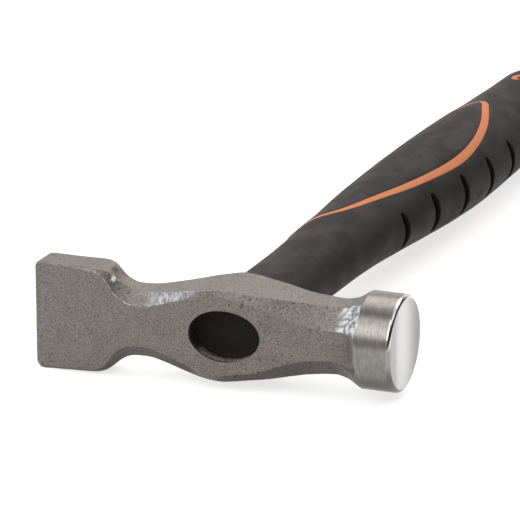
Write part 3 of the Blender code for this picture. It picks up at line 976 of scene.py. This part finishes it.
def build_jacket():
    """The hard orange moulding: a core tube, the two outlines and the ring round the hanging hole."""
    angles = round_angles()
    x = ROD_POCKET[0] * np.cos(angles)
    z = ROD_POCKET[1] * np.sin(angles)
    pocket_ends = (CORE_END + POCKET_GAP, HANDLE_START)
    rings = [np.column_stack([x, np.full_like(angles, y), z]) for y in pocket_ends]
    stations = evenly(HANDLE_START, BUTT - BUTT_ROUNDING, HIDDEN_RING_SPACING)
    rings += handle_rings(stations, lambda y, _: rubber_thickness(y) + POCKET_GAP)
    jacket = add_piece("orange_jacket", loft("orange_jacket", rings), orange_plastic())

    half_depth = smooth_rows(HANDLE_SECTIONS, [HANG_HOLE_Y])[0][2] * SECTION_ASPECT
    top = half_depth - HANG_BOSS_INSET
    rim, hole = HANG_BOSS_RADIUS, HANG_HOLE_RADIUS
    boss = both_ends([(rim - 0.5, top), (rim - 0.15, top - 0.15), (rim, top - 0.5)])
    mouth = [(hole + 2.0, top + 1.5), (hole + 0.5, top), (hole + 0.15, top - 0.15)]
    bore = both_ends([*mouth, (hole, top - 0.5)])
    ribs = [rib_solid(f"rib_{side}", stripe_line(side)) for side in ("left", "right")]
    combine(jacket, [*ribs, turned("hang_boss", boss)], "UNION")
    combine(jacket, [turned("hang_hole", bore)], "DIFFERENCE")
    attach(jacket, "root")
    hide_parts("handle_jacket")


def mark_grooves(mesh):
    """Write how deep each point lies under the handle's surface, from 0 to 1, for the material, which
    paints shade in the grooves with it.
    """
    places = np.empty(len(mesh.vertices) * 3)
    mesh.vertices.foreach_get("co", places)
    places = (places.reshape(-1, 3) - np.array(ORIGIN)) / MM
    rows = smooth_rows(HANDLE_SECTIONS, np.clip(places[:, 1], HANDLE_START, BUTT))
    half = rows[:, 2]
    from_middle = np.hypot(places[:, 0] - rows[:, 1], places[:, 2] / SECTION_ASPECT)
    depth = (half - from_middle) * (places[:, 1] < BUTT - BUTT_ROUNDING)
    groove_shade = mesh.attributes.new("groove_shade", "FLOAT", "POINT")
    groove_shade.data.foreach_set("value", smoothstep(depth, 0.12, 0.8).astype(np.float32))


def build_sleeve(rubber):
    """The soft rubber: its outer surface with the grooves, its inner one, and the cut-outs."""
    angles = round_angles()
    stations = evenly(HANDLE_START, BUTT - BUTT_ROUNDING, HIDDEN_RING_SPACING)
    inner = handle_rings(stations, lambda y, _: rubber_thickness(y))
    outer = handle_rings(sleeve_stations(), groove_depth)
    edge = [handle_points(HANDLE_START, angles, 0.4), handle_points(HANDLE_START + 0.12, angles, 0.12)]
    sleeve = add_piece("rubber_sleeve", loft("rubber_sleeve", inner[::-1] + edge + outer), rubber)

    cutters = []
    for side in ("left", "right"):
        line = stripe_line(side)
        half = line[:, 2] / 2 + SEAM
        layers = (
            (moved_sideways(line, half + EDGE_ROUNDING), -2.0),
            (moved_sideways(line, half + EDGE_ROUNDING), 0.0),
            (moved_sideways(line, half + 0.3 * EDGE_ROUNDING), 0.3 * EDGE_ROUNDING),
            (moved_sideways(line, half), EDGE_ROUNDING),
            (moved_sideways(line, half), 4.5),
        )
        cutters.append(patch_solid(f"window_{side}", layers))
    beyond_surface = 20.0
    cutters.append(turned("hang_window", both_ends([(HANG_BOSS_RADIUS + SEAM, beyond_surface)])))
    combine(sleeve, cutters, "DIFFERENCE")
    mark_grooves(sleeve.data)
    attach(sleeve, "root")
    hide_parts("grip_sleeve")


def build_palm_panel(side, rubber):
    line = stripe_line(side)
    half = line[:, 2] / 2 + SEAM
    layers = (
        (moved_sideways(line, -half - PANEL_ROUNDING), 0.0),
        (moved_sideways(line, -half - 0.3 * PANEL_ROUNDING), 0.3 * PANEL_ROUNDING),
        (moved_sideways(line, -half), PANEL_ROUNDING),
        (moved_sideways(line, -half), rubber_thickness),
    )
    name = f"palm_inlay_{side}"
    panel = add_piece(name, patch_solid(name, layers), rubber)
    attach(panel, "root")
    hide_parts(f"palm_panel_{side}")


# Stage


def direction(azimuth, elevation):
    """The unit vector at the angles to the left of the front and above the floor."""
    level = math.cos(elevation)
    return Vector((-math.sin(azimuth) * level, -math.cos(azimuth) * level, math.sin(elevation)))


def towards(location, target):
    """The rotation that points a camera or a light at the target."""
    return (target - location).to_track_quat("-Z", "Y").to_euler()


def add_panel(name, azimuth, elevation, width, height, brightness, colour):
    """A softbox that faces the hammer, from degrees to the left of the front and above the floor.
    The brightness is its radiance: where it is mirrored, 1 shows as white."""
    light = bpy.data.lights.new(name, "AREA")
    light.shape = "RECTANGLE"
    light.size = width
    light.size_y = height
    light.energy = brightness * math.pi * width * height
    light.color = colour
    lamp = bpy.data.objects.new(name, light)
    lamp.location = ORIGIN + direction(math.radians(azimuth), math.radians(elevation)) * PANEL_DISTANCE
    lamp.rotation_euler = towards(lamp.location, ORIGIN)
    bpy.context.scene.collection.objects.link(lamp)


def world_ramp(tree, source, low, high, start, end):
    """A direction's part carried from low...high to start...end, smoothly, and held beyond."""
    node = tree.nodes.new("ShaderNodeMapRange")
    node.interpolation_type = "SMOOTHSTEP"
    tree.links.new(source, node.inputs["Value"])
    for name, value in (("From Min", low), ("From Max", high), ("To Min", start), ("To Max", end)):
        node.inputs[name].default_value = value
    return node.outputs["Result"]


def world_math(tree, operation, first, second):
    node = tree.nodes.new("ShaderNodeMath")
    node.operation = operation
    tree.links.new(first, node.inputs[0])
    tree.links.new(second, node.inputs[1])
    return node.outputs[0]


def add_world():
    """A white cove: dim in front and bright behind, brighter low down and overhead, and nearly black
    on the right, except high up."""
    world = bpy.data.worlds.new("studio")
    bpy.context.scene.world = world
    world.use_nodes = True
    tree = world.node_tree
    coordinates = tree.nodes.new("ShaderNodeTexCoord").outputs["Generated"]
    parts = tree.nodes.new("ShaderNodeSeparateXYZ")
    tree.links.new(coordinates, parts.inputs[0])
    behind = world_ramp(tree, parts.outputs["Y"], -0.12, 0.2, FRONT_GLOW, BACK_GLOW)
    low = world_ramp(tree, parts.outputs["Z"], 0.2, 0.5, LOW_GLOW, 1.0)
    ceiling = world_ramp(tree, parts.outputs["Z"], 0.85, 0.92, 1.0, CEILING_GLOW)
    left = world_ramp(tree, parts.outputs["X"], 0.15, 0.5, 1.0, RIGHT_GLOW)
    high = world_ramp(tree, parts.outputs["Z"], 0.45, 0.7, 0.0, 1.0)
    strength = behind
    for factor in (low, ceiling, world_math(tree, "MAXIMUM", left, high)):
        strength = world_math(tree, "MULTIPLY", strength, factor)
    background = tree.nodes["Background"]
    tree.links.new(strength, background.inputs["Strength"])
    background.inputs["Color"].default_value = (1.0, 0.985, 0.97, 1.0)


def build_stage():
    bpy.ops.mesh.primitive_plane_add(size=6.0)
    floor = bpy.context.object
    floor.name = "floor"
    floor.data.materials.append(pale_floor())

    camera = bpy.data.objects.new("camera", bpy.data.cameras.new("camera"))
    camera.data.sensor_width = SENSOR_WIDTH
    camera.data.lens = FOCAL_LENGTH
    aim = ORIGIN + Vector(CAMERA_AIM) * MM
    camera.location = aim + direction(-CAMERA_AZIMUTH, CAMERA_ELEVATION) * CAMERA_DISTANCE
    camera.rotation_euler = towards(camera.location, aim)
    bpy.context.scene.collection.objects.link(camera)
    bpy.context.scene.camera = camera

    add_panel("front_panel", 4.0, 36.5, 1.35, 0.62, 2.6, (1.0, 0.99, 0.96))
    add_panel("top_panel", 4.0, 60.0, 1.35, 0.46, 1.7, (1.0, 0.985, 0.96))
    add_panel("left_panel", 72.0, 36.0, 1.1, 0.55, 4.5, (0.95, 0.97, 1.0))
    add_panel("right_panel", -80.0, 52.0, 0.6, 0.45, 1.4, (1.0, 0.99, 0.97))
    add_panel("rear_panel", 150.0, 54.0, 0.8, 0.72, 1.8, (1.0, 0.99, 0.97))
    add_panel("back_panel", 205.0, 50.0, 0.8, 0.6, 4.0, (1.0, 0.99, 0.97))
    add_world()
    bpy.context.scene.view_settings.view_transform = "Standard"


build_stage()
build_head()
build_resin_plug()
build_jacket()
rubber_finish = black_rubber()
build_sleeve(rubber_finish)
for panel_side in ("left", "right"):
    build_palm_panel(panel_side, rubber_finish)
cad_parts["glass_fibre_core"].data.materials.clear()
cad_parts["glass_fibre_core"].data.materials.append(glass_fibre())
